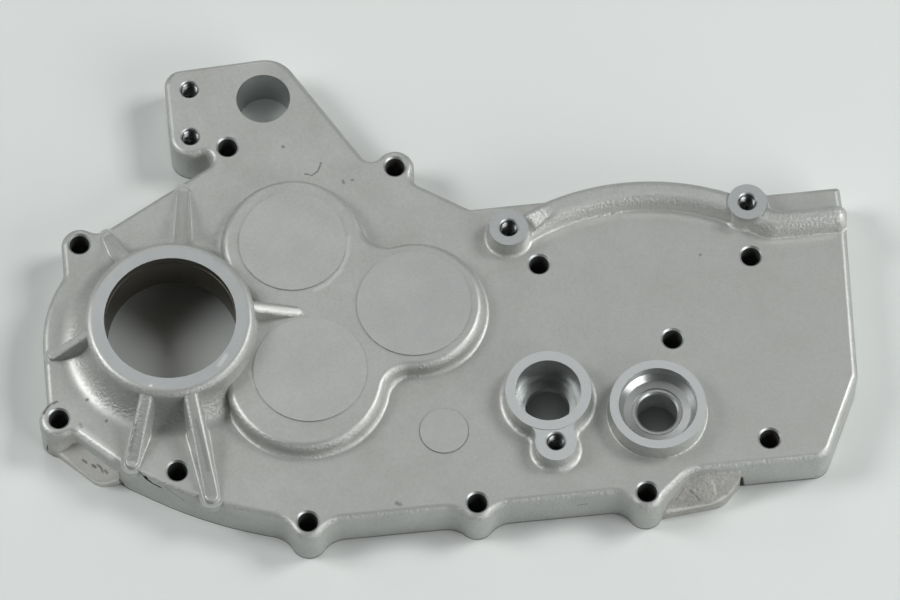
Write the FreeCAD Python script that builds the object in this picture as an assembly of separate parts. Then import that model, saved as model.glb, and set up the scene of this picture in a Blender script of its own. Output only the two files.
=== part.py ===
# Cast aluminium cover of a transmission, seen from its outer side.
# Millimetres. +Z points away from the gears, and +X runs along the cover's long lower edge.
# The sizes below are taken from the main bore's axis and from the face that meets the housing.
# The finished cover is moved so that the origin is the middle of its footprint on that face.
import FreeCAD, Part
import math
import os
from FreeCAD import Vector

# Levels above the housing face
plate_top = 24.0
raised_top = 33.0
pad_height = 0.8
boss_top = 34.0
ring_top = 44.0

# Casting: roof and side wall thickness, and the rounds of its edges
roof = 4.5
wall = 5.5
edge_round = 3.0
raised_round = 3.5
platform_fillet = 2.5
core_round = 3.0

# Plate: corners of the outer edge, each with the radius that rounds it.
# The side round, the lugs and the arch are added to it.
side_radius = 58.2
side_blend = 5.0
right_upper = (308.4, 30.8)
right_lower = (302.8, -51.0)
plate_corners = [
    (-46.3, 20.0, 0),
    (-46.3, 50.2, 0),
    (-38.0, 49.6, 0),
    (24.8, 84.5, 4.2),
    (24.8, 90.5, 3.2),
    (16.3, 90.5, 0),
    (6.6, 99.3, 0),
    (6.6, 134.2, 8.0),
    (60.7, 136.7, 15.0),
    (100.2, 69.9, 0),
    (107.6, 71.0, 0),
    (139.3, 49.9, 4.0),
    (185.0, 50.2, 0),
    (209.9, 46.0, 0),
    (261.0, 37.0, 0),
    (266.0, 43.2, 0),
    (307.5, 43.4, 1.5),
    (307.5, 33.5, 0.5),
    (*right_upper, 2.0),
    (*right_lower, 5.0),
    (284.2, -88.7, 8.0),
    (223.0, -88.7, 14.0),
    (208.6, -100.6, 0),
    (202.3, -96.0, 0),
    (52.1, -96.0, 0),
    (46.0, -94.5, 0),
    (8.0, -82.7, 200.0),
    (-26.0, -61.5, 15.0),
    (-47.5, -41.8, 0),
    (-53.5, -36.0, 0),
    (-side_radius, -30.0, 0),
    (-side_radius, 0.0, 0),
]

# Bolt holes through the plate, centre x and y
bolt_radius = 4.5
bolt_chamfer = 0.8
bolt_column = 8.0
bolt_holes = {
    "upper_left": (-38.0, 50.2),
    "lower_left": (-53.5, -34.7),
    "pad": (-3.1, -65.4),
    "lower_1": (52.1, -95.5),
    "lower_2": (127.2, -94.3),
    "lower_3": (202.3, -97.1),
    "right_low": (259.5, -77.2),
    "right_high": (262.8, 12.6),
    "middle_right": (222.6, -24.4),
    "middle": (167.3, 18.5),
    "upper_right": (107.6, 74.3),
    "lobe": (32.7, 92.2),
}
# Lugs round the bolt holes at the edge: radius, and the radius that blends it into the edge
bolt_lugs = {
    "upper_left": (8.3, 8.0),
    "lower_left": (8.8, 4.0),
    "lower_1": (8.0, 12.0),
    "lower_2": (8.0, 12.0),
    "lower_3": (8.0, 10.0),
    "upper_right": (8.7, 5.0),
}

# Main bore, the machined ring round it, and the bell that carries the ring
main_bore_radius = 29.15
main_bore_bottom = 19.0
main_bore_lead = 0.25
main_bore_lead_depth = 4.7
ring_radius = 37.8
ring_round = 3.2
bell_sweep = 13.0
bell_wall = 5.0

# Ribs from the ring outwards: plan angle at the ring, end point, top level at each end, width
rib_start = 1.0
rib_draft = 0.1
rib_round = 2.0
rib_fillet = 1.5
ribs = [
    (5.0, (58.0, 2.3), 42.0, 33.0, 5.5),
    (78.1, (11.0, 71.0), 42.5, 26.0, 4.8),
    (117.0, (-25.0, 52.4), 43.0, 26.0, 4.0),
    (184.1, (-53.8, -4.3), 43.1, 25.8, 4.0),
    (248.8, (-22.6, -59.7), 42.0, 26.6, 5.8),
    (279.4, (11.0, -79.5), 42.0, 26.6, 6.3),
]

# Raised platform: centre and wall radius of its three lobes, and the blends between them
platform_lobes = [
    (57.5, -29.0, 35.8),
    (109.4, 0.6, 31.0),
    (57.7, 36.8, 32.0),
]
platform_blend = 12.0
# Round pads on the platform, and the small one on the plate
pads = [
    (57.7, 36.8, 24.1),
    (108.9, 0.6, 25.5),
    (59.7, -26.8, 25.2),
]
small_pad = (116.2, -58.6, 10.7)
small_pad_height = 0.5

# Raised arch, concentric with the right-hand shaft, and the straight band that follows it.
# The arch rises out of the left boss and is at full height from arch_full_angle on.
arch_centre = (209.9, -60.0)
arch_outer = 112.5
arch_width = 11.5
arch_inner = arch_outer - arch_width
arch_full_angle = 107.5
arch_start_height = 3.0
arch_steps = 5
arch_overlap = 5.0
arch_round = 4.3
arch_fillet = 1.2
band_front = 20.4
band_back = 31.0
band_corner = 12.0
band_end_round = 4.6

# Threaded bosses at the ends of the arch
boss_radius = 8.75
boss_draft = 0.7
boss_fillet = 2.0
boss_blend = 2.0
bosses = {
    "left_boss": (155.1, 33.4),
    "right_boss": (263.6, 35.1),
}

# Left stepped boss and the threaded tail joined to it
left_stepped = (163.8, -48.2)
left_stepped_radius = 19.1
left_stepped_fillet = 3.0
left_mouth_radius = 14.6
left_mouth_floor = 18.5
left_seat_radius = 13.1
left_seat_floor = 14.0
left_through_radius = 9.9
left_collar_bottom = 10.0
tail_centre = (164.4, -72.8)
tail_radius = 9.2
tail_blend = 5.0
tail_drop = 0.4

# Right stepped boss
right_stepped = (211.3, -59.9)
right_stepped_radius = 21.4
right_stepped_draft = 0.5
right_stepped_fillet = 0.8
right_mouth_radius = 17.5
right_mouth_floor = 26.0
right_bevel = 2.6
right_groove_radius = 11.5
right_groove_width = 0.5
right_groove_depth = 0.8
right_through_radius = 9.05
right_through_chamfer = 0.8
right_collar_bottom = 10.0
stepped_wall = 4.0

# Lobe: upper bore, two threaded holes, and the round end about the lower one
upper_bore = (51.1, 115.2)
upper_bore_radius = 12.35
upper_bore_wall = 4.6
lobe_holes = {
    "lobe_upper": (17.8, 123.5),
    "lobe_lower": (16.3, 99.3),
}
lobe_end_radius = 9.7
lobe_blend = 3.0

# M8 x 1.25 threads: the holes are drawn at the thread's major radius
thread_radius = 4.0
thread_chamfer = 0.6
boss_thread_depth = 22.0
lobe_thread_depth = 20.0
thread_column = 8.0
thread_floor = 4.0

# Remains of the casting's gates, left low on the edge
left_gate = [
    (-57.5, -37.5, 0),
    (-59.3, -39.8, 1.5),
    (-39.0, -59.5, 6.0),
    (-29.5, -59.0, 2.0),
    (-27.5, -57.5, 0),
    (-46.0, -40.5, 0),
]
left_gate_levels = (6.0, 16.5)
right_gate = [
    (206.0, -98.0, 0),
    (205.0, -101.6, 0),
    (237.5, -98.0, 8.0),
    (246.0, -89.0, 2.0),
    (245.5, -87.5, 0),
    (212.0, -87.5, 0),
]
right_gate_levels = (4.5, 19.5)

# Hollow on the gears' side: its corners stand one wall thickness inside the plate's outline
hollow_corners = [
    (-40.5, 20.0, 0),
    (-40.5, 40.9, 4.0),
    (24.8, 78.0, 0),
    (30.3, 80.1, 0),
    (30.3, 96.0, 3.0),
    (12.1, 96.0, 4.0),
    (12.1, 128.8, 5.0),
    (57.6, 131.0, 9.5),
    (95.5, 66.9, 6.0),
    (137.3, 44.4, 0),
    (186.0, 44.6, 0),
    (212.0, 47.6, 90.0),
    (262.0, 36.6, 0),
    (300.6, 38.2, 4.0),
    (297.3, -49.9, 4.0),
    (280.8, -83.2, 5.0),
    (217.0, -83.2, 6.0),
    (208.0, -90.5, 4.0),
    (51.5, -90.5, 0),
    (9.9, -77.5, 150.0),
    (-23.1, -56.8, 10.0),
    (-43.8, -37.7, 4.0),
    (wall - side_radius, -28.5, 0),
    (wall - side_radius, 0.0, 0),
]

# Bearing seats behind the three pads
seat_wall = 4.5
seat_radius = 19.5
seat_rim = 14.0

UP = Vector(0, 0, 1)


def rounded_outline(corners):
    """Closed flat outline through the corners, each rounded by its own radius."""
    points = [Vector(x, y, 0) for x, y, radius in corners]
    count = len(points)
    pieces = []
    for index, (x, y, radius) in enumerate(corners):
        here = points[index]
        back = (points[index - 1] - here).normalize()
        ahead = (points[(index + 1) % count] - here).normalize()
        if radius:
            half = back.getAngle(ahead) / 2
            reach = radius / math.tan(half)
            middle = here + (back + ahead).normalize() * (radius / math.sin(half) - radius)
            pieces.append((here + back * reach, middle, here + ahead * reach))
        else:
            pieces.append((here, None, here))
    edges = []
    for index, (start, middle, end) in enumerate(pieces):
        if middle:
            edges.append(Part.Arc(start, middle, end).toShape())
        next_start = pieces[(index + 1) % count][0]
        if end.distanceToPoint(next_start) > 1e-6:
            edges.append(Part.makeLine(end, next_start))
    return Part.Wire(edges)


def prism(corners, bottom, top):
    face = Part.Face(rounded_outline(corners))
    face.translate(Vector(0, 0, bottom))
    return face.extrude(UP * (top - bottom))


def cylinder(centre, radius, bottom, top):
    return Part.makeCylinder(radius, top - bottom, Vector(centre[0], centre[1], bottom))


def turned(centre, profile):
    """Solid turned about an upright axis; the profile's corners are radius, level and rounding."""
    face = Part.Face(rounded_outline(profile))
    face.rotate(Vector(0, 0, 0), Vector(1, 0, 0), 90)
    solid = face.revolve(Vector(0, 0, 0), UP, 360)
    solid.translate(Vector(centre[0], centre[1], 0))
    return solid


def joined(*solids):
    whole = solids[0]
    for solid in solids[1:]:
        whole = whole.fuse(solid)
    return whole.removeSplitter()


def is_upright(edge):
    if len(edge.Vertexes) < 2:
        return False
    run = edge.Vertexes[1].Point - edge.Vertexes[0].Point
    return abs(run.x) + abs(run.y) < 1e-4 and abs(run.z) > 1e-3


def inner_corners(solid, centre, reach):
    """Upright edges near a centre that have the solid round more than half of them."""
    probe = 0.2
    steps = 16
    found = []
    for edge in solid.Edges:
        if not is_upright(edge):
            continue
        middle = (edge.Vertexes[0].Point + edge.Vertexes[1].Point) * 0.5
        if math.hypot(middle.x - centre[0], middle.y - centre[1]) > reach:
            continue
        inside = 0
        for step in range(steps):
            angle = math.radians(360 * step / steps + 3)
            point = middle + Vector(math.cos(angle), math.sin(angle), 0) * probe
            inside += solid.isInside(point, 1e-6, False)
        if inside > steps / 2 + 0.5:
            found.append(edge)
    return found


def level_edges(solid, level):
    """Edges that lie wholly at one level."""
    flat = []
    for edge in solid.Edges:
        box = edge.BoundBox
        if abs(box.ZMin - level) < 1e-3 and abs(box.ZMax - level) < 1e-3:
            flat.append(edge)
    return flat


def rounded(solid, radius, edges):
    return solid.makeFillet(radius, edges)


def plan_prism(top):
    """The plate's whole plan, carried straight up from the housing face."""
    plan = joined(
        prism(plate_corners, 0, top),
        cylinder((0, 0), side_radius, 0, top),
        cylinder(lobe_holes["lobe_lower"], lobe_end_radius, 0, top),
        cylinder(bosses["right_boss"], boss_radius + boss_draft, 0, top),
        arch_ring(0, top),
        *[cylinder(bolt_holes[name], lug[0], 0, top) for name, lug in bolt_lugs.items()],
    )
    for name, (radius, blend) in bolt_lugs.items():
        edges = inner_corners(plan, bolt_holes[name], radius + 0.5)
        plan = rounded(plan, blend, edges)
    start_x = plate_corners[0][0]
    start_y = math.sqrt(side_radius ** 2 - start_x ** 2)
    plan = rounded(plan, side_blend, inner_corners(plan, (start_x, start_y), 1.0))
    edges = inner_corners(plan, lobe_holes["lobe_lower"], lobe_end_radius + 0.5)
    plan = rounded(plan, lobe_blend, edges)
    edges = inner_corners(plan, bosses["right_boss"], boss_radius + boss_draft + 0.5)
    return rounded(plan, boss_blend, edges)


def uprights_near(solid, x, y, reach):
    near = []
    for edge in solid.Edges:
        if is_upright(edge):
            point = edge.Vertexes[0].Point
            if math.hypot(point.x - x, point.y - y) < reach:
                near.append(edge)
    return near


def arch_crossing(radius, y):
    """Where a round about the arch's centre crosses a line of constant y, on the right."""
    return arch_centre[0] + math.sqrt(radius ** 2 - (y - arch_centre[1]) ** 2)


def arch_ring(bottom, top):
    """Upright part of the arch's ring, from a little before its full height to the band."""
    ring = cylinder(arch_centre, arch_outer, bottom, top)
    ring = ring.cut(cylinder(arch_centre, arch_inner, bottom, top))
    angle = math.radians(arch_full_angle + arch_overlap)
    near = 0.8 * arch_inner
    far = 1.5 * arch_outer
    x, y = arch_centre
    corners = [
        (x + near * math.cos(angle), y + near * math.sin(angle), 0),
        (arch_crossing(arch_inner, band_front) - band_corner, band_front, 0),
        (x + far, band_front, 0),
        (x + far, y + far, 0),
        (x + far * math.cos(angle), y + far * math.sin(angle), 0),
    ]
    return ring.common(prism(corners, bottom, top))


def before_arch(bottom, top):
    """Space on the left of the arch's section at its full height."""
    angle = math.radians(arch_full_angle)
    out = Vector(math.cos(angle), math.sin(angle), 0)
    left = Vector(-math.sin(angle), math.cos(angle), 0)
    centre = Vector(arch_centre[0], arch_centre[1], 0)
    corners = []
    for along, across in ((0.8, 0), (1.2, 0), (1.2, 0.5), (0.8, 0.5)):
        point = centre + out * (arch_outer * along) + left * (arch_outer * across)
        corners.append((point.x, point.y, 0))
    return prism(corners, bottom, top)


def right_edge(y):
    """The plate's right-hand edge at a given y."""
    x1, y1 = right_upper
    x2, y2 = right_lower
    return x1 + (y - y1) * (x2 - x1) / (y2 - y1)


def on_floor(body, fillet):
    """Raised body with a fillet round its foot, standing on the plate's upper face."""
    box = body.BoundBox
    margin = 20.0
    floor = Part.makeBox(
        box.XLength + 2 * margin,
        box.YLength + 2 * margin,
        roof,
        Vector(box.XMin - margin, box.YMin - margin, plate_top - roof),
    )
    whole = joined(floor, body)
    outer = whole.BoundBox
    feet = []
    for edge in level_edges(whole, plate_top):
        size = edge.BoundBox
        clear = min(
            size.XMin - outer.XMin,
            outer.XMax - size.XMax,
            size.YMin - outer.YMin,
            outer.YMax - size.YMax,
        )
        if clear > 1:
            feet.append(edge)
    whole = rounded(whole, fillet, feet)
    whole = whole.cut(floor)
    bottoms = [face for face in whole.Faces if abs(face.BoundBox.ZMax - plate_top) < 1e-3]
    return joined(whole, *[face.extrude(UP * -roof) for face in bottoms])


def lobed_prism(lobes, blend, bottom, top):
    """Block whose outline runs anticlockwise round the lobes, with hollow rounds between them."""
    count = len(lobes)
    joints = []
    for index in range(count):
        x1, y1, radius1 = lobes[index]
        x2, y2, radius2 = lobes[(index + 1) % count]
        first = Vector(x1, y1, bottom)
        second = Vector(x2, y2, bottom)
        ahead = (second - first).normalize()
        outward = ahead.cross(UP)
        gap = first.distanceToPoint(second)
        reach1 = radius1 + blend
        reach2 = radius2 + blend
        along = (gap ** 2 + reach1 ** 2 - reach2 ** 2) / (2 * gap)
        centre = first + ahead * along + outward * math.sqrt(reach1 ** 2 - along ** 2)
        start = first + (centre - first) * (radius1 / reach1)
        end = second + (centre - second) * (radius2 / reach2)
        inward = ((start + end) * 0.5 - centre).normalize()
        joints.append((start, centre + inward * blend, end))
    edges = []
    for index, (x, y, radius) in enumerate(lobes):
        start = joints[index - 1][2]
        end = joints[index][0]
        first = math.atan2(start.y - y, start.x - x)
        turn = (math.atan2(end.y - y, end.x - x) - first) % (2 * math.pi)
        middle = first + turn / 2
        point = Vector(x + radius * math.cos(middle), y + radius * math.sin(middle), bottom)
        edges.append(Part.Arc(start, point, end).toShape())
        edges.append(Part.Arc(*joints[index]).toShape())
    return Part.Face(Part.Wire(edges)).extrude(UP * (top - bottom))


def make_platform():
    platform = lobed_prism(platform_lobes, platform_blend, plate_top - roof, raised_top)
    platform = rounded(platform, raised_round, level_edges(platform, raised_top))
    return on_floor(platform, platform_fillet)


def make_left_stepped():
    x, y = left_stepped
    lobes = [(x, y, left_stepped_radius), (*tail_centre, tail_radius)]
    body = lobed_prism(lobes, tail_blend, plate_top - roof, boss_top)
    body = on_floor(body, left_stepped_fillet)
    # The tail's end was faced a little lower than the boss
    lowered = cylinder(tail_centre, 2 * tail_radius, boss_top - tail_drop, boss_top + 1)
    lowered = lowered.cut(cylinder(left_stepped, left_stepped_radius, raised_top, boss_top + 1))
    return body.cut(lowered)


def arch_section(angle, height):
    """Cross-section of the arch in the upright plane at a plan angle about its centre."""
    floor = plate_top - roof
    top = plate_top + height
    share = height / (raised_top - plate_top)
    edge = 1.3 * arch_fillet
    corners = [
        (arch_inner - edge, floor, 0),
        (arch_inner - edge, plate_top, 0),
        (arch_inner, plate_top, arch_fillet),
        (arch_inner, top, arch_round * share),
        (arch_outer, top, arch_round * share),
        (arch_outer, plate_top, arch_fillet),
        (arch_outer + edge, plate_top, 0),
        (arch_outer + edge, floor, 0),
    ]
    wire = rounded_outline(corners)
    wire.rotate(Vector(0, 0, 0), Vector(1, 0, 0), 90)
    wire.rotate(Vector(0, 0, 0), UP, angle)
    wire.translate(Vector(arch_centre[0], arch_centre[1], 0))
    return wire


def make_arch_rise():
    """End of the arch that rises in a soft slope out of the left boss."""
    x, y = bosses["left_boss"]
    start = math.degrees(math.atan2(y - arch_centre[1], x - arch_centre[0]))
    full = raised_top - plate_top
    sections = []
    for step in range(arch_steps + 1):
        share = step / arch_steps
        eased = share * share * (3 - 2 * share)
        height = arch_start_height + (full - arch_start_height) * eased
        sections.append(arch_section(start + (arch_full_angle - start) * share, height))
    return Part.makeLoft(sections, True, False)


def make_arch():
    floor = plate_top - roof
    front_x = arch_crossing(arch_inner, band_front)
    back_x = arch_crossing(arch_outer, band_back)
    band = [
        (front_x, band_front, 0),
        (right_edge(band_front), band_front, band_end_round),
        (right_edge(band_back), band_back, band_end_round),
        (back_x, band_back, 0),
    ]
    body = joined(arch_ring(floor, raised_top), prism(band, floor, raised_top))
    corners = uprights_near(body, front_x, band_front, 0.5)
    corners += uprights_near(body, back_x, band_back, 0.5)
    body = rounded(body, band_corner, corners)
    body = on_floor(rounded(body, arch_round, level_edges(body, raised_top)), arch_fillet)
    body = body.cut(before_arch(floor - 1, raised_top + 1))
    return joined(body, make_arch_rise())


def make_boss(centre, radius, draft, fillet):
    """Round boss on the plate, with its draft and the fillet round its foot."""
    floor = plate_top - roof
    reach = radius + draft + fillet + 1
    profile = [
        (0, floor, 0),
        (0, boss_top, 0),
        (radius, boss_top, 0),
        (radius + draft, plate_top, fillet),
        (reach, plate_top, 0),
        (reach, floor, 0),
    ]
    return turned(centre, profile)


def make_bell():
    floor = plate_top - roof
    reach = ring_radius + bell_sweep + 2
    profile = [
        (0, floor, 0),
        (0, ring_top, 0),
        (ring_radius, ring_top, ring_round),
        (ring_radius, plate_top, bell_sweep),
        (reach, plate_top, 0),
        (reach, floor, 0),
    ]
    return turned((0, 0), profile)


def rib_side(level, width):
    """Half of a rib's cross-section, from the floor up to the middle of its top."""
    floor = plate_top - roof
    height = level - plate_top
    share = min(1.0, height / 6)
    top = width / 2
    foot = top + rib_draft * height
    edge = foot + 1.3 * rib_fillet
    return [
        (edge, floor, 0),
        (edge, plate_top, 0),
        (foot, plate_top, rib_fillet * share),
        (top, level, rib_round * share),
    ]


def make_rib(angle, end, ring_level, end_level, width):
    """Rib from the ring to its end point, where it has a round nose."""
    radius = ring_radius - rib_start
    start = (radius * math.cos(math.radians(angle)), radius * math.sin(math.radians(angle)))
    heading = math.degrees(math.atan2(end[1] - start[1], end[0] - start[0]))
    sections = []
    for (x, y), level in ((start, ring_level), (end, end_level)):
        side = rib_side(level, width)
        other = [(-across, up, radius) for across, up, radius in reversed(side)]
        wire = rounded_outline(side + other)
        wire.rotate(Vector(0, 0, 0), Vector(1, 0, 0), 90)
        wire.rotate(Vector(0, 0, 0), UP, heading + 90)
        wire.translate(Vector(x, y, 0))
        sections.append(wire)
    nose = turned(end, [(0, plate_top - roof, 0)] + rib_side(end_level, width) + [(0, end_level, 0)])
    return joined(Part.makeLoft(sections, True, True), nose)


def make_gate(corners, levels, heading):
    """Low ledge whose top rises from its outer edge to the wall; heading points outwards."""
    low, high = levels
    turn = math.radians(heading)
    along = [x * math.cos(turn) + y * math.sin(turn) for x, y, radius in corners]
    near = min(along)
    far = max(along)
    wedge = prism([(near, 0, 0), (far, 0, 0), (far, low, 0), (near, high, 0)], -500, 500)
    wedge.rotate(Vector(0, 0, 0), Vector(1, 0, 0), 90)
    wedge.rotate(Vector(0, 0, 0), UP, heading)
    return prism(corners, 0, high).common(wedge)


def drilled(centre, radius, bottom, top, chamfer):
    """Hole with a chamfered mouth at its upper end."""
    profile = [
        (0, bottom, 0),
        (radius, bottom, 0),
        (radius, top - chamfer, 0),
        (radius + 2 * chamfer, top + chamfer, 0),
        (0, top + chamfer, 0),
    ]
    return turned(centre, profile)


def threaded_holes():
    """Centre, mouth level and depth of each threaded hole."""
    holes = [(centre, boss_top, boss_thread_depth) for centre in bosses.values()]
    holes.append((tail_centre, boss_top - tail_drop, boss_thread_depth))
    holes += [(centre, plate_top, lobe_thread_depth) for centre in lobe_holes.values()]
    return holes


def make_hollow():
    """Everything that is hollow on the side of the gears."""
    roof_under = plate_top - roof
    below = -1.0
    cavity = joined(
        prism(hollow_corners, below, roof_under),
        cylinder((0, 0), side_radius - wall, below, roof_under),
    )
    cavity = rounded(cavity, core_round, level_edges(cavity, roof_under))

    lobes = [(x, y, radius - wall) for x, y, radius in platform_lobes]
    pocket_top = raised_top - roof
    pocket = lobed_prism(lobes, platform_blend + wall, roof_under - core_round, pocket_top)
    pocket = rounded(pocket, core_round, level_edges(pocket, pocket_top))

    collar = main_bore_radius + bell_wall
    bell = [
        (collar, roof_under - core_round, 0),
        (collar, roof_under + 11, 0),
        (collar + 3.3, roof_under + 5.7, 0),
        (collar + 12.8, roof_under, 0),
        (collar + 12.8, roof_under - core_round, 0),
    ]
    hollow = joined(cavity, pocket, turned((0, 0), bell))

    kept = [
        cylinder((0, 0), collar, main_bore_bottom, ring_top),
        cylinder(upper_bore, upper_bore_radius + upper_bore_wall, below, plate_top),
        cylinder(left_stepped, left_mouth_radius + stepped_wall, left_collar_bottom, plate_top),
        cylinder(right_stepped, right_groove_radius + stepped_wall, right_collar_bottom, plate_top),
    ]
    for centre in bolt_holes.values():
        kept.append(cylinder(centre, bolt_column, below, plate_top))
    for centre, mouth, depth in threaded_holes():
        kept.append(cylinder(centre, thread_column, mouth - depth - thread_floor, plate_top))
    for x, y, radius in pads:
        seat = cylinder((x, y), seat_radius + seat_wall, seat_rim, pocket_top)
        kept.append(seat.cut(cylinder((x, y), seat_radius, seat_rim, pocket_top)))
    return hollow.cut(kept)


def make_bores():
    above = ring_top + 1
    below = -1.0
    bores = [
        cylinder((0, 0), main_bore_radius, below, above),
        cylinder((0, 0), main_bore_radius + main_bore_lead, ring_top - main_bore_lead_depth, above),
        cylinder(upper_bore, upper_bore_radius, below, above),
        cylinder(left_stepped, left_mouth_radius, left_mouth_floor, above),
        cylinder(left_stepped, left_seat_radius, left_seat_floor, above),
        cylinder(left_stepped, left_through_radius, below, above),
    ]
    floor = right_mouth_floor
    bevel = right_mouth_radius - right_bevel
    profile = [
        (0, below, 0),
        (right_through_radius, below, 0),
        (right_through_radius, floor - 2 * right_through_chamfer, 0),
        (right_through_radius + right_through_chamfer, floor - right_through_chamfer, 0),
        (right_groove_radius - right_groove_width, floor - right_through_chamfer, 0),
        (right_groove_radius - right_groove_width, floor - 2 * right_groove_depth, 0),
        (right_groove_radius, floor - 2 * right_groove_depth, 0),
        (right_groove_radius, floor - right_through_chamfer / 2, 0),
        (bevel, floor, 0),
        (right_mouth_radius, floor + right_bevel, 0),
        (right_mouth_radius, above, 0),
        (0, above, 0),
    ]
    bores.append(turned(right_stepped, profile))
    for centre in bolt_holes.values():
        bores.append(drilled(centre, bolt_radius, below, plate_top, bolt_chamfer))
    for centre, mouth, depth in threaded_holes():
        bores.append(drilled(centre, thread_radius, mouth - depth, mouth, thread_chamfer))
    return bores


def make_cover():
    plan = plan_prism(boss_top)
    plate = plan_prism(plate_top)
    plate = rounded(plate, edge_round, level_edges(plate, plate_top))
    raised = [
        make_platform(),
        make_left_stepped(),
        make_boss(right_stepped, right_stepped_radius, right_stepped_draft, right_stepped_fillet),
        make_arch().common(plan),
        make_bell(),
        make_gate(left_gate, left_gate_levels, 225),
        make_gate(right_gate, right_gate_levels, 270),
        cylinder(small_pad[:2], small_pad[2], plate_top - 1, plate_top + small_pad_height),
    ]
    for centre in bosses.values():
        raised.append(make_boss(centre, boss_radius, boss_draft, boss_fillet).common(plan))
    for x, y, radius in pads:
        raised.append(cylinder((x, y), radius, raised_top - 1, raised_top + pad_height))
    for angle, end, ring_level, end_level, width in ribs:
        raised.append(make_rib(angle, end, ring_level, end_level, width))
    cover = plate.fuse(raised).removeSplitter()
    cover = cover.cut([make_hollow()] + make_bores())
    box = cover.optimalBoundingBox(False, False)
    middle = Vector((box.XMin + box.XMax) / 2, (box.YMin + box.YMax) / 2, 0)
    cover.translate(middle * -1)
    return cover


os.makedirs("parts", exist_ok=True)
make_cover().exportStep("parts/cover.step")
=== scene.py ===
import math

import bmesh
import bpy
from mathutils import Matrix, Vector


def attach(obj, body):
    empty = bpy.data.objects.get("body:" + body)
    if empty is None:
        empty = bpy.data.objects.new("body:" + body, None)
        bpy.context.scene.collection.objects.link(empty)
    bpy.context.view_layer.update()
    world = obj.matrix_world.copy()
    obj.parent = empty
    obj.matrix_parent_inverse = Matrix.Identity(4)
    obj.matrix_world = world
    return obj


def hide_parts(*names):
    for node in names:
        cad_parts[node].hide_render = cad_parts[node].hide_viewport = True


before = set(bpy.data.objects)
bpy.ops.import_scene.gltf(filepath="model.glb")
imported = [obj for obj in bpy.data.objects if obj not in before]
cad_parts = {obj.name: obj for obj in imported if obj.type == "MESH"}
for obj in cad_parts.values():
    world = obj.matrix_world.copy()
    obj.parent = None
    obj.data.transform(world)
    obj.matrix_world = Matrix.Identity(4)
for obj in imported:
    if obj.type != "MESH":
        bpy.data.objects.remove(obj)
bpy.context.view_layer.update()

# Lengths are in metres. Points written as mm(x, y, z), and the numbers of the casting below, are
# in millimetres from the main bore's axis and from the face that meets the housing.
BORE_X = -123.0388
BORE_Y = -15.5998

# Bores, seats and pads: centre, and a reach just over the radius
MAIN_BORE = (0.0, 0.0, 29.7)
UPPER_BORE = (51.1, 115.2, 12.5)
LEFT_STEPPED = (163.8, -48.2, 14.7)
RIGHT_STEPPED = (211.3, -59.9, 17.6)
SMALL_PAD = (116.2, -58.6, 10.8)
BEARING_SEATS = [(57.7, 36.8, 19.6), (108.9, 0.6, 19.6), (59.7, -26.8, 19.6)]

# Bolt holes: centres, and reaches of the wall and of its chamfer
BOLT_HOLES = [
    (-38.0, 50.2), (-53.5, -34.7), (-3.1, -65.4), (52.1, -95.5), (127.2, -94.3), (202.3, -97.1),
    (259.5, -77.2), (262.8, 12.6), (222.6, -24.4), (167.3, 18.5), (107.6, 74.3), (32.7, 92.2),
]
BOLT_REACH = 4.6
BOLT_CHAMFER_REACH = 5.4

# Threaded holes: centre, mouth level and depth, and reaches of the wall and of its chamfer
TAIL_HOLE = (164.4, -72.8, 33.6, 22.0)
THREADS = [
    (155.1, 33.4, 34.0, 22.0),
    (263.6, 35.1, 34.0, 22.0),
    TAIL_HOLE,
    (17.8, 123.5, 24.0, 20.0),
    (16.3, 99.3, 24.0, 20.0),
]
THREAD_REACH = 4.1
THREAD_CHAMFER_REACH = 4.9
THREAD_CHAMFER_DEPTH = 1.2

# Ridges of the M8 threads: pitch, radius in the wall and at the crest, and steps in a turn
THREAD_PITCH = 1.25
THREAD_WALL = 4.03
THREAD_CREST = 3.32
THREAD_STEPS = 36
# How far a ridge stays from the bottom and the mouth of its hole
THREAD_OFF_BOTTOM = 1.2
THREAD_OFF_MOUTH = 0.9
# Section of the ridge: radius, and height as a share of the pitch
RIDGE = [(THREAD_WALL, -0.48), (THREAD_CREST, -0.07), (THREAD_CREST, 0.07), (THREAD_WALL, 0.48)]
# A point nearer than this to a hole's axis is on that hole's own ridge, in metres
OWN_RIDGE = 0.006

# Stubs of the two gates: their reach in x and y, and the wall that they stand out of
GATES = [
    ((-60.0, -26.0), (-61.0, -37.0), [(-47.5, -41.8), (-26.0, -61.5)]),
    ((206.0, 247.0), (-103.0, -86.0), [(208.6, -100.6), (223.0, -88.7), (247.0, -88.7)]),
]
GATE_TOP = 21.0
GATE_STANDS_OUT = 0.4

# Levels that part the faces from each other
TABLE_SIDE = 0.05
STEPPED_BORE_FOOT = 9.9
MAIN_BORE_FOOT = 18.9
BOLT_CHAMFER_FOOT = 23.0
SMALL_PAD_FOOT = 24.4
SEAT_ROOF = 28.6
STEPPED_TOP_FOOT = 33.0
PADS_FOOT = 33.55
PADS_ROOF = 33.9
BOSS_TOP = 34.0
SAME_LEVEL = 0.05
RING_FOOT = 43.9

# Reach of the faced flats round a stepped bore, and round the threaded hole in the tail
STEPPED_TOP_REACH = 24.0
TAIL_REACH = 14.0

# Upward part of a normal: more than LEVEL on flats, less than UPRIGHT on walls, under HANGING inside
LEVEL = 0.999
UPRIGHT = 0.5
HANGING = -0.2
# Between these the casting's skin goes from the grain of a slope to that of a flat
SLOPE = 0.75
NEARLY_LEVEL = 0.97

# Numbers of the casting's materials, in the order of cover_materials()
CAST, MACHINED, PAD, BORED, DRILLED, GATE, INSIDE, FACED, MAIN_WALL = range(9)

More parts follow.
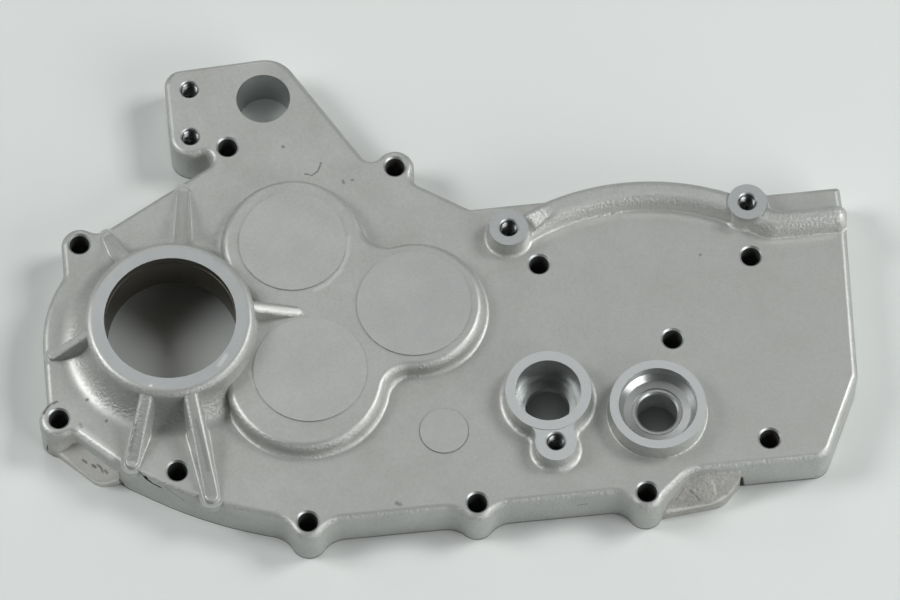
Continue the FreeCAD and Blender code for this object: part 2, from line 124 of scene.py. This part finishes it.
# Small marks, painted highlights and painted shade: points, width, softness of the edge, colour and
# strength
CAST_MARKS_AND_PAINTED_LIGHT = [
    # Curved dent near the lobe
    ([(66.6, 74.8, 24), (69.7, 73.7, 24), (72.6, 75.7, 24), (74.4, 79.6, 24)], 0.3, 0.5, "6C6D6A", 0.75),
    # Slit and fine crack in the edge below the bolt hole of the ribs
    ([(-20.4, -63.7, 24), (-17.6, -66.3, 22.5)], 0.25, 0.4, "4E4E4B", 0.8),
    ([(-17.6, -66.3, 22.5), (-14.8, -68.5, 20.4), (-11.3, -70.6, 19.6)], 1.0, 0.45, "060606", 1.0),
    ([(-8.7, -71.9, 22.2), (-4.7, -74.4, 18.1), (-1.5, -76.2, 14.7)], 0.2, 0.5, "6A6B68", 0.6),
    # Worn rim of the lower left lug, and a black spot on its wall
    ([(-59.8, -31.2, 23.7), (-58.3, -28.6, 23.3), (-56.4, -27.3, 23.9), (-53.6, -26.6, 24)],
     0.5, 0.6, "5A5B58", 0.7),
    ([(-59.6, -41.0, 9.0), (-60.0, -40.6, 4.0)], 1.2, 0.6, "0C0C0C", 1.0),
    # Painted highlight along the rounded edge above the left gate
    ([(-44.5, -42.1, 23.7), (-38.3, -48.5, 23.4), (-32.2, -54.8, 23.2)], 2.2, 2.4, "E8E9E6", 0.75),
    # Crack beside each gate
    ([(-30.4, -59.0, 6.6), (-27.7, -59.9, 0.5)], 0.8, 0.5, "1A1A19", 0.95),
    ([(245.9, -88.7, 9.2), (246.8, -88.7, 1.0)], 1.3, 0.7, "141413", 0.95),
    # Dots and smudges on the flats
    ([(91.9, -91.1, 24), (93.3, -91.7, 24)], 0.8, 0.9, "6E6F6C", 0.6),
    ([(57.9, 89.5, 24), (58.1, 89.6, 24)], 0.8, 0.6, "6E6F6C", 0.75),
    ([(83.4, 69.4, 24), (83.6, 68.6, 24)], 0.6, 0.6, "6E6F6C", 0.7),
    ([(87.6, 69.5, 24), (87.9, 69.5, 24)], 0.6, 0.6, "747572", 0.7),
    ([(-40.3, -27.1, 24.2), (-40.1, -27.0, 24.2)], 0.7, 0.6, "666764", 0.75),
    ([(-32.6, -38.1, 24), (-32.4, -38.0, 24)], 0.7, 0.6, "6E6F6C", 0.75),
    ([(-44.2, -38.4, 24), (-43.6, -40.0, 24)], 0.5, 0.8, "787976", 0.5),
    ([(240.1, 15.5, 24), (240.3, 15.5, 24)], 0.6, 0.6, "6E6F6C", 0.7),
    # Fine scratches on the long wall, on two ribs and beside the right gate
    ([(171.8, -96.0, 13.9), (175.8, -96.0, 14.3)], 0.4, 0.6, "666764", 0.6),
    ([(-19.7, -46.0, 34.4), (-21.7, -51.6, 31.1), (-23.0, -55.3, 28.8)], 0.6, 1.2, "6E6F6D", 0.4),
    ([(7.3, -48.0, 37.8), (9.3, -58.6, 34.0), (10.5, -69.1, 30.3)], 0.5, 1.0, "7C7D7B", 0.35),
    ([(208.5, -99.0, 20), (206.5, -103.0, 13)], 0.5, 0.8, "6A6B68", 0.6),
    # Painted highlights on the rounded steps of the upper pad and of the lower one
    ([(82.9, 36.5, 33), (81.3, 27.2, 33), (77.4, 20.0, 33), (70.8, 14.2, 33), (65.5, 12.0, 33)],
     0.7, 1.1, "E4E5E2", 0.4),
    ([(34.9, -32.4, 33), (33.2, -25.1, 33)], 0.7, 0.9, "D6D7D3", 0.6),
    # Painted light on the hollow side of the arch and on the band's front
    ([(162.5, 29.2, 27), (183.8, 37.6, 27), (206.4, 40.9, 27), (227.4, 39.5, 27), (247.7, 33.6, 27),
      (266.4, 23.7, 27), (274.0, 20.3, 27), (300.0, 20.3, 27)], 4.0, 3.0, "E6E7E4", 0.62),
    # Painted highlight on the rounded rim at the south of the platform
    ([(35.3, -57.1, 26.6), (40.7, -60.7, 25.8), (47.1, -63.6, 25.3), (53.7, -65.1, 25.0),
      (60.3, -65.0, 25.3), (67.2, -63.4, 26.7), (74.2, -60.6, 29.8)], 1.4, 1.8, "E6E7E4", 0.4),
    # Painted highlight on the rounded end of the band
    ([(304.6, 28.0, 32.0), (305.6, 24.0, 31.0), (305.8, 21.0, 27.0)], 2.2, 2.0, "D9DAD7", 0.5),
]
GATE_MARKS_AND_PAINTED_LIGHT = [
    # Painted light: the left gate is painted a little brighter all over
    ([(-47.0, -46.0, 8.0), (-33.0, -58.0, 8.0)], 16.0, 5.0, "DEDEDA", 0.6),
    # Bright rim where each gate tore off
    ([(-54.4, -44.6, 6.1), (-50.7, -48.2, 5.6), (-46.5, -52.2, 4.8), (-42.4, -56.2, 4.1),
      (-39.0, -58.9, 4.4), (-35.1, -59.3, 3.8), (-31.4, -59.1, 5.3)], 0.8, 1.0, "F2F2EF", 0.65),
    ([(211.9, -99.9, 6.3), (221.8, -99.6, 6.6), (231.8, -98.6, 6.4), (237.2, -97.1, 9.3),
      (241.7, -93.5, 9.0), (245.3, -89.8, 10.8)], 0.7, 0.9, "ECECE8", 0.6),
    # Pits of the left one and scratches of the right one
    ([(-44.7, -49.6, 9.6), (-43.2, -51.0, 9.6)], 0.4, 0.7, "4A4946", 0.65),
    ([(-40.6, -52.9, 10.2), (-39.4, -53.9, 10.4)], 0.5, 0.7, "4A4946", 0.7),
    ([(-38.4, -53.6, 11.6), (-37.0, -54.9, 11.6), (-36.4, -56.8, 10.6)], 0.4, 0.7, "50504C", 0.65),
    ([(-35.2, -56.6, 11.5), (-34.4, -57.6, 11.3)], 0.5, 0.7, "4A4946", 0.6),
    ([(222.3, -93.6, 13.0), (226.5, -97.3, 9.1)], 0.3, 0.6, "74736F", 0.6),
    ([(215.8, -96.5, 9.9), (219.4, -93.2, 13.6)], 0.3, 0.6, "8A8985", 0.6),
    ([(232.3, -91.0, 15.7), (233.7, -95.8, 10.7)], 0.3, 0.6, "E4E4E0", 0.55),
]
RING_MARKS = [
    # Bright nicks of the main ring, two dull ones and a scratch
    ([(-24.8, 25.3, 44), (-24.3, 25.8, 44)], 0.7, 0.6, "E6E8E7", 0.8),
    ([(-20.0, 29.8, 43.8), (-19.4, 30.2, 43.8)], 0.6, 0.6, "E6E8E7", 0.8),
    ([(-11.5, -32.2, 44), (-11.0, -32.1, 44)], 0.8, 0.5, "F2F3F2", 0.9),
    ([(-21.4, -28.6, 43.9), (-20.9, -28.9, 43.9)], 0.7, 0.6, "F0F1F0", 0.9),
    ([(22.3, 27.3, 44), (23.4, 26.5, 44)], 0.6, 0.8, "7E8180", 0.7),
    ([(17.3, 30.8, 44), (19.0, 30.4, 44)], 0.5, 0.8, "7E8180", 0.7),
    ([(23.2, -20.8, 44), (19.7, -25.3, 44)], 0.4, 1.2, "E8EAE9", 0.6),
]
# Painted shade: thin dark line round the step of the small pad: centre, radius, width, softness, colour
# and strength
PAINTED_SHADE_CIRCLES = [
    (SMALL_PAD[:2], 10.75, 0.2, 0.5, "7A7B79", 0.6),
]
# Painted contact shade: a dark line along the foot of the outer wall, where it meets what it stands on:
# width, softness, colour, strength
PAINTED_CONTACT_SHADE = (1.0, 0.8, "4C4D4A", 0.7)
# Crest of the arch and the band, coarser than the other flats: points, width and softness
COARSE_CREST = (
    [(168.0, 37.0, 33), (179.4, 42.7, 33), (198.1, 46.8, 33), (216.4, 47.4, 33), (234.2, 44.5, 33),
     (251.8, 39.6, 33), (277.8, 29.1, 33), (300.0, 27.0, 33)], 12.0, 3.0)

# Soft boxes: place, size and power
LIGHTS = {
    "west_box": ((-1.7, 0.3, 1.2), 1.1, 9.0),
    "east_box": ((1.7, 0.3, 1.2), 1.1, 0.5),
    "high_west_box": ((-1.45, 0.25, 1.68), 0.75, 15.0),
    "high_east_box": ((1.45, 0.25, 1.68), 0.75, 21.0),
    "north_box": ((0.0, 1.9, 1.2), 1.1, 5.0),
    "high_north_box": ((-0.3, 1.0, 2.1), 0.9, 3.0),
    "south_east_box": ((1.5, -1.3, 0.9), 1.5, 26.0),
}
WORLD_COLOUR = "F4F5F5"
WORLD_STRENGTH = 0.015
TABLE_REACH = 3.0


def mm(x, y, z):
    return Vector(((x + BORE_X) / 1000, (y + BORE_Y) / 1000, z / 1000))


def srgb(text):
    """Linear colour from a hex value."""
    channels = [int(text[i:i + 2], 16) / 255 for i in (0, 2, 4)]
    linear = [c / 12.92 if c <= 0.04045 else ((c + 0.055) / 1.055) ** 2.4 for c in channels]
    return (*linear, 1.0)


def new_object(name, data):
    made = bpy.data.objects.new(name, data)
    bpy.context.scene.collection.objects.link(made)
    return made


def node(tree, kind, inputs=None, **settings):
    """Adds a shader node; inputs maps its sockets to other nodes' outputs or to plain values."""
    made = tree.nodes.new(kind)
    for name, value in settings.items():
        setattr(made, name, value)
    for key, value in (inputs or {}).items():
        if isinstance(value, bpy.types.NodeSocket):
            tree.links.new(value, made.inputs[key])
        else:
            made.inputs[key].default_value = value
    return made


def new_material(name):
    material = bpy.data.materials.new(name)
    material.use_nodes = True
    tree = material.node_tree
    tree.nodes.clear()
    output = tree.nodes.new("ShaderNodeOutputMaterial")
    return material, tree, output


def line_gap(tree, place, start, end):
    """Distance from the line between two points."""
    run = end - start
    offset = node(tree, "ShaderNodeVectorMath", {0: place, 1: start}, operation="SUBTRACT").outputs[0]
    along = node(tree, "ShaderNodeVectorMath", {0: offset, 1: run}, operation="DOT_PRODUCT")
    share = node(tree, "ShaderNodeMapRange", {
        "Value": along.outputs["Value"], "From Max": run.length_squared}).outputs["Result"]
    step = node(tree, "ShaderNodeVectorMath", {0: run, "Scale": share}, operation="SCALE").outputs[0]
    gap = node(tree, "ShaderNodeVectorMath", {0: offset, 1: step}, operation="DISTANCE")
    return gap.outputs["Value"]


def chain_gap(tree, place, points):
    """Distance from a chain of lines through points in mm."""
    ends = [mm(*point) for point in points]
    gap = line_gap(tree, place, ends[0], ends[1])
    for start, end in zip(ends[1:], ends[2:]):
        other = line_gap(tree, place, start, end)
        gap = node(tree, "ShaderNodeMath", {0: gap, 1: other}, operation="MINIMUM").outputs[0]
    return gap


def circle_gap(tree, place, centre, radius):
    """Distance, seen from above, from a level circle."""
    offset = node(tree, "ShaderNodeVectorMath", {0: place, 1: mm(*centre, 0)}, operation="SUBTRACT")
    level = node(tree, "ShaderNodeVectorMath", {
        0: offset.outputs[0], 1: (1.0, 1.0, 0.0)}, operation="MULTIPLY")
    reach = node(tree, "ShaderNodeVectorMath", {0: level.outputs[0]}, operation="LENGTH")
    short = node(tree, "ShaderNodeMath", {
        0: reach.outputs["Value"], 1: radius / 1000}, operation="SUBTRACT")
    return node(tree, "ShaderNodeMath", {0: short.outputs[0]}, operation="ABSOLUTE").outputs[0]


def ragged(tree, place):
    """The place shaken a little, in spots of 1.5 mm, which gives the marks, painted highlights and
    painted shade ragged edges.
    """
    shake = node(tree, "ShaderNodeTexNoise", {"Vector": place, "Scale": 1000 / 1.5, "Detail": 2.0})
    centred = node(tree, "ShaderNodeVectorMath", {
        0: shake.outputs["Color"], 1: (0.5, 0.5, 0.5)}, operation="SUBTRACT")
    small = node(tree, "ShaderNodeVectorMath", {
        0: centred.outputs[0], "Scale": 0.0009}, operation="SCALE")
    return node(tree, "ShaderNodeVectorMath", {0: place, 1: small.outputs[0]}, operation="ADD").outputs[0]


def lay_marks(tree, place, colour, marks_and_painted_light, shade_circles, contact_shade):
    """Colour with the marks, painted highlights and painted shade laid over it, one after the other."""
    shaken = ragged(tree, place)
    gaps = [(chain_gap(tree, shaken, points), look) for points, *look in marks_and_painted_light]
    gaps += [(circle_gap(tree, shaken, centre, radius), look) for centre, radius, *look in shade_circles]
    if contact_shade:
        # Painted contact shade, darker in the lowest millimetre
        gaps.append((node(tree, "ShaderNodeSeparateXYZ", {0: place}).outputs["Z"], contact_shade))
    for gap, (width, soft, tint, strength) in gaps:
        share = node(tree, "ShaderNodeMapRange", {
            "Value": gap, "From Min": width / 2000, "From Max": width / 2000 + soft / 1000,
            "To Min": strength, "To Max": 0.0}).outputs["Result"]
        # Sockets 6, 7 and 2 are a Mix node's two colours and its mixed one
        colour = node(tree, "ShaderNodeMix", {
            "Factor": share, 6: colour, 7: srgb(tint)}, data_type="RGBA").outputs[2]
    return colour


def coarsen_slopes(tree, place, relief, rough, sloped_grain, crest):
    """Relief and roughness of a skin whose slopes, rounds and crest are coarser than its flats."""
    normal = node(tree, "ShaderNodeNewGeometry").outputs["Normal"]
    upward = node(tree, "ShaderNodeSeparateXYZ", {0: normal}).outputs["Z"]
    share = node(tree, "ShaderNodeMapRange", {
        "Value": upward, "From Min": SLOPE, "From Max": NEARLY_LEVEL,
        "To Min": sloped_grain, "To Max": 1.0}).outputs["Result"]
    if crest:
        points, width, soft = crest
        coarse = node(tree, "ShaderNodeMapRange", {
            "Value": chain_gap(tree, place, points), "From Min": width / 2000,
            "From Max": width / 2000 + soft / 1000, "To Min": 0.5 * sloped_grain, "To Max": 1.0})
        share = node(tree, "ShaderNodeMath", {
            0: share, 1: coarse.outputs["Result"]}, operation="MAXIMUM").outputs[0]
    relief = node(tree, "ShaderNodeMath", {0: relief, 1: share}, operation="MULTIPLY").outputs[0]
    dulled = node(tree, "ShaderNodeMapRange", {
        "Value": upward, "From Min": SLOPE, "From Max": NEARLY_LEVEL,
        "To Min": 0.14, "To Max": 0.0}).outputs["Result"]
    rough = node(tree, "ShaderNodeMath", {0: rough, 1: dulled}, operation="ADD").outputs[0]
    return relief, rough


def metal(name, dark, light, roughness, clouds_mm, grain_mm, grain_height, turned_mm=0.0,
          metallic=1.0, sloped_grain=1.0, crest=None, marks_and_painted_light=(), shade_circles=(), contact_shade=None):
    """Bare metal: soft clouds in its tone, fine grain, a tool's rings, small marks, painted highlights
    and painted shade.

    A pixel of the render is about half a millimetre. Grain below about a millimetre and a tool's
    rings, some 0.3 mm apart, are too fine to show, so they are drawn as coarse as they need: the
    grain at grain_mm, and the rings 2 pi times turned_mm apart, which is 3 to 4 mm.
    """
    material, tree, output = new_material(name)
    place = node(tree, "ShaderNodeTexCoord").outputs["Object"]
    clouds = node(tree, "ShaderNodeTexNoise", {
        "Vector": place, "Scale": 1000 / clouds_mm, "Detail": 5.0, "Roughness": 0.62}).outputs["Fac"]
    grain = node(tree, "ShaderNodeTexNoise", {
        "Vector": place, "Scale": 1000 / grain_mm, "Detail": 3.0, "Roughness": 0.6}).outputs["Fac"]
    cloudy = node(tree, "ShaderNodeMapRange", {"Value": clouds, "From Min": 0.3, "From Max": 0.7})
    grainy = node(tree, "ShaderNodeMapRange", {"Value": grain, "From Min": 0.25, "From Max": 0.75})
    tone = node(tree, "ShaderNodeMix", {
        "Factor": 0.45, "A": cloudy.outputs["Result"], "B": grainy.outputs["Result"]}).outputs["Result"]
    colour = node(tree, "ShaderNodeMix", {
        "Factor": tone, 6: srgb(dark), 7: srgb(light)}, data_type="RGBA").outputs[2]
    rough = node(tree, "ShaderNodeMapRange", {
        "Value": tone, "To Min": roughness + 0.06, "To Max": roughness - 0.06}).outputs["Result"]
    relief = grain
    if sloped_grain > 1:
        relief, rough = coarsen_slopes(tree, place, relief, rough, sloped_grain, crest)
    if turned_mm:
        # The wave texture counts 20 radians in a unit of length
        rings = node(tree, "ShaderNodeTexWave", {
            "Vector": place, "Scale": 1000 / turned_mm / 20, "Distortion": 0.6, "Detail": 1.0},
            wave_type="BANDS", bands_direction="Z").outputs["Fac"]
        relief = node(tree, "ShaderNodeMath", {0: rings, 1: grain}, operation="ADD").outputs[0]
    if marks_and_painted_light:
        colour = lay_marks(tree, place, colour, marks_and_painted_light, shade_circles, contact_shade)
    bump = node(tree, "ShaderNodeBump", {
        "Height": relief, "Strength": 1.0, "Distance": grain_height / 1000}).outputs["Normal"]
    surface = node(tree, "ShaderNodeBsdfPrincipled", {
        "Base Color": colour, "Metallic": metallic, "Roughness": rough, "Normal": bump})
    tree.links.new(surface.outputs["BSDF"], output.inputs["Surface"])
    return material


def cover_materials():
    """Materials of the casting, in the order of their numbers."""
    return [
        # As-cast aluminium skin, tumbled: satin and faintly cloudy, coarser on slopes and rounds, with
        # its marks, painted highlights and painted shade
        metal("cast_skin", "AEB0AC", "C8CAC7", 0.45, clouds_mm=26.0, grain_mm=1.3, grain_height=0.04,
              metallic=0.75, sloped_grain=14.0, crest=COARSE_CREST, marks_and_painted_light=CAST_MARKS_AND_PAINTED_LIGHT,
              shade_circles=PAINTED_SHADE_CIRCLES, contact_shade=PAINTED_CONTACT_SHADE),
        # Milled and turned flat faces, a little lighter and bluer than the skin
        metal("machined_face", "B6BBBB", "C8CCCC", 0.45, clouds_mm=30.0, grain_mm=0.9,
              grain_height=0.012, metallic=0.85, marks_and_painted_light=RING_MARKS),
        # Round pads, skimmed flat on the raised platform
        metal("skimmed_pad", "B5B8B6", "CCCECC", 0.44, clouds_mm=24.0, grain_mm=1.2,
              grain_height=0.02, metallic=0.8),
        # Turned walls of the bores, bright, with the tool's rings
        metal("turned_bore", "B8BCBB", "D4D7D6", 0.3, clouds_mm=30.0, grain_mm=0.9,
              grain_height=0.006, turned_mm=0.5, metallic=0.85),
        # Drilled walls of the bolt holes, dull, painted dark for the shade inside the holes
        metal("drilled_wall_painted_dark", "5E5F5D", "7E7F7C", 0.45, clouds_mm=6.0, grain_mm=0.8,
              grain_height=0.02, turned_mm=0.6, metallic=0.5),
        # Rough grey metal where the casting's gates were broken off, with painted light on the left gate
        metal("broken_gate", "A09F9B", "C2C2BD", 0.6, clouds_mm=5.0, grain_mm=1.6,
              grain_height=0.3, metallic=0.6, marks_and_painted_light=GATE_MARKS_AND_PAINTED_LIGHT),
        # As-cast skin of the hollow side, duller than the outside and painted darker for the shade under
        # the casting
        metal("inner_skin_painted_dark", "8B8C88", "A8A9A5", 0.55, clouds_mm=30.0, grain_mm=1.5,
              grain_height=0.05, metallic=0.8),
        # Finely faced rings on top of the two stepped bosses, the brightest flats
        metal("faced_ring", "CACECE", "DADDDD", 0.45, clouds_mm=30.0, grain_mm=0.9,
              grain_height=0.012, metallic=0.85),
        # Wall of the main bore, painted darker for the shade and dark reflections deep in the bore
        metal("main_bore_wall_painted_dark", "716E66", "8C8880", 0.32, clouds_mm=30.0, grain_mm=0.9,
              grain_height=0.006, turned_mm=0.5, metallic=0.9),
    ]


def distance(x, y, centre):
    return math.hypot(x - centre[0], y - centre[1])


def within(x, y, circle):
    """True in a circle given by its centre and reach."""
    return distance(x, y, circle) < circle[2]


def beyond(x, y, start, end):
    """Distance in mm to the right of the line from one point to another."""
    run_x, run_y = end[0] - start[0], end[1] - start[1]
    return ((x - start[0]) * run_y - (y - start[1]) * run_x) / math.hypot(run_x, run_y)


def on_gate(x, y, z):
    """True on the stubs of the two gates, which stand out of the outer wall."""
    for (left, right), (low, high), wall in GATES:
        if z <= GATE_TOP and left < x < right and low < y < high:
            return all(beyond(x, y, *ends) > GATE_STANDS_OUT for ends in zip(wall, wall[1:]))
    return False


def hole_material(x, y, z, up):
    """Material number of a face in a bore or hole, or None elsewhere."""
    if within(x, y, MAIN_BORE) and z > MAIN_BORE_FOOT:
        return MAIN_WALL
    if within(x, y, UPPER_BORE) and abs(up) < UPRIGHT:
        return BORED
    if (within(x, y, LEFT_STEPPED) or within(x, y, RIGHT_STEPPED)) and z > STEPPED_BORE_FOOT:
        return BORED
    for hole in BOLT_HOLES:
        if distance(x, y, hole) < BOLT_REACH and abs(up) < UPRIGHT:
            return DRILLED
        if distance(x, y, hole) < BOLT_CHAMFER_REACH and z > BOLT_CHAMFER_FOOT:
            return MACHINED
    for hole in THREADS:
        mouth = hole[2]
        if distance(x, y, hole) < THREAD_REACH:
            return DRILLED
        if distance(x, y, hole) < THREAD_CHAMFER_REACH and z > mouth - THREAD_CHAMFER_DEPTH:
            return MACHINED
    return None


def flat_material(x, y, z):
    """Material number of a level face that looks up, or None where it is as cast."""
    if PADS_FOOT < z < PADS_ROOF:
        return PAD if distance(x, y, TAIL_HOLE) > TAIL_REACH else FACED
    by_stepped = min(distance(x, y, LEFT_STEPPED), distance(x, y, RIGHT_STEPPED))
    if z > STEPPED_TOP_FOOT and by_stepped < STEPPED_TOP_REACH:
        return FACED
    if z > RING_FOOT or abs(z - BOSS_TOP) < SAME_LEVEL:
        return MACHINED
    if within(x, y, SMALL_PAD) and z > SMALL_PAD_FOOT:
        return PAD
    return None


def region(x, y, z, up):
    """Material number for a face by its centre in mm and the upward part of its normal."""
    found = hole_material(x, y, z, up)
    if found is None and up > LEVEL:
        found = flat_material(x, y, z)
    if found is not None:
        return found
    if up < -LEVEL and z < TABLE_SIDE:
        return MACHINED
    if on_gate(x, y, z):
        return GATE
    if any(within(x, y, seat) for seat in BEARING_SEATS) and z < SEAT_ROOF:
        return BORED
    return INSIDE if up < HANGING else CAST


def build_cover():
    """The casting as the frame has it, merged, with sharp edges and a material on each face."""
    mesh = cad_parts["cover"].data.copy()
    mesh.materials.clear()
    cover = new_object("cover_casting", mesh)
    shape = bmesh.new()
    shape.from_mesh(mesh)
    bmesh.ops.remove_doubles(shape, verts=shape.verts, dist=1e-6)
    for face in shape.faces:
        face.smooth = True
        centre = face.calc_center_median() * 1000
        face.material_index = region(centre.x - BORE_X, centre.y - BORE_Y, centre.z, face.normal.z)
    for edge in shape.edges:
        edge.smooth = edge.calc_face_angle(0.0) < math.radians(24)
    shape.to_mesh(mesh)
    shape.free()
    for material in cover_materials():
        mesh.materials.append(material)
    normals = cover.modifiers.new("normals", "WEIGHTED_NORMAL")
    normals.keep_sharp = True
    normals.weight = 100
    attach(cover, "root")
    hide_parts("cover")


def run_out(shape, centre, low, turns):
    """Lets the ridge of one hole run out into the wall over its first and last turn."""
    for vertex in shape.verts:
        across = (vertex.co - centre).to_2d()
        if across.length < OWN_RIDGE:
            turn = (vertex.co.z * 1000 - low) / THREAD_PITCH
            share = max(0.0, min(1.0, turn, turns - turn))
            radius = across.length + (THREAD_WALL / 1000 - across.length) * (1 - share)
            vertex.co.xy = centre.to_2d() + across.normalized() * radius


def build_threads():
    """Ridges of the M8 threads, as one right-hand helix in each threaded hole."""
    shape = bmesh.new()
    for hole_x, hole_y, mouth, depth in THREADS:
        low = mouth - depth + THREAD_OFF_BOTTOM
        turns = (mouth - THREAD_OFF_MOUTH - low) / THREAD_PITCH
        steps = round(turns * THREAD_STEPS)
        centre = mm(hole_x, hole_y, 0)
        section = [shape.verts.new(mm(hole_x + radius, hole_y, low + lift * THREAD_PITCH))
                   for radius, lift in RIDGE]
        edges = [shape.edges.new(pair) for pair in zip(section, section[1:])]
        bmesh.ops.spin(shape, geom=section + edges, cent=centre, axis=(0, 0, 1),
                       angle=2 * math.pi * turns, steps=steps,
                       dvec=(0, 0, THREAD_PITCH / 1000 * turns / steps))
        run_out(shape, centre, low, turns)
    bmesh.ops.recalc_face_normals(shape, faces=shape.faces)
    mesh = bpy.data.meshes.new("m8_threads")
    shape.to_mesh(mesh)
    shape.free()
    # Freshly cut thread, brighter than the wall behind it
    mesh.materials.append(metal("cut_thread", "7E8180", "A4A7A6", 0.28, clouds_mm=6.0, grain_mm=0.8,
                                grain_height=0.01))
    threads = new_object("m8_threads", mesh)
    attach(threads, "root")


def build_table():
    shape = bmesh.new()
    bmesh.ops.create_grid(shape, x_segments=1, y_segments=1, size=TABLE_REACH)
    mesh = bpy.data.meshes.new("table")
    shape.to_mesh(mesh)
    shape.free()
    table = new_object("table", mesh)
    # Pale matt paper
    material, tree, output = new_material("table_paper")
    surface = node(tree, "ShaderNodeBsdfPrincipled", {"Base Color": srgb("DADEDC"), "Roughness": 0.8})
    tree.links.new(surface.outputs["BSDF"], output.inputs["Surface"])
    mesh.materials.append(material)


def build_lights():
    """Soft boxes that look at the middle of the cover's footprint, and a very faint world."""
    for name, (place, size, power) in LIGHTS.items():
        data = bpy.data.lights.new(name, "AREA")
        data.shape = "SQUARE"
        data.size = size
        data.energy = power
        light = new_object(name, data)
        light.location = place
        light.rotation_mode = "QUATERNION"
        light.rotation_quaternion = (-Vector(place)).to_track_quat("-Z", "Y")
    world = bpy.data.worlds.new("studio")
    bpy.context.scene.world = world
    world.use_nodes = True
    background = world.node_tree.nodes["Background"]
    background.inputs["Color"].default_value = srgb(WORLD_COLOUR)
    background.inputs["Strength"].default_value = WORLD_STRENGTH


def build_camera():
    data = bpy.data.cameras.new("camera")
    data.lens = 200
    data.sensor_width = 36
    data.clip_end = 20
    camera = new_object("camera", data)
    place = mm(25.7545, -944.4214, 2057.27)
    target = mm(126.7155, 16.1746, 0.0)
    camera.location = place
    camera.rotation_mode = "QUATERNION"
    camera.rotation_quaternion = (target - place).to_track_quat("-Z", "Y")
    bpy.context.scene.camera = camera


build_cover()
build_threads()
build_table()
build_lights()
build_camera()
bpy.context.scene.view_settings.view_transform = "Standard"
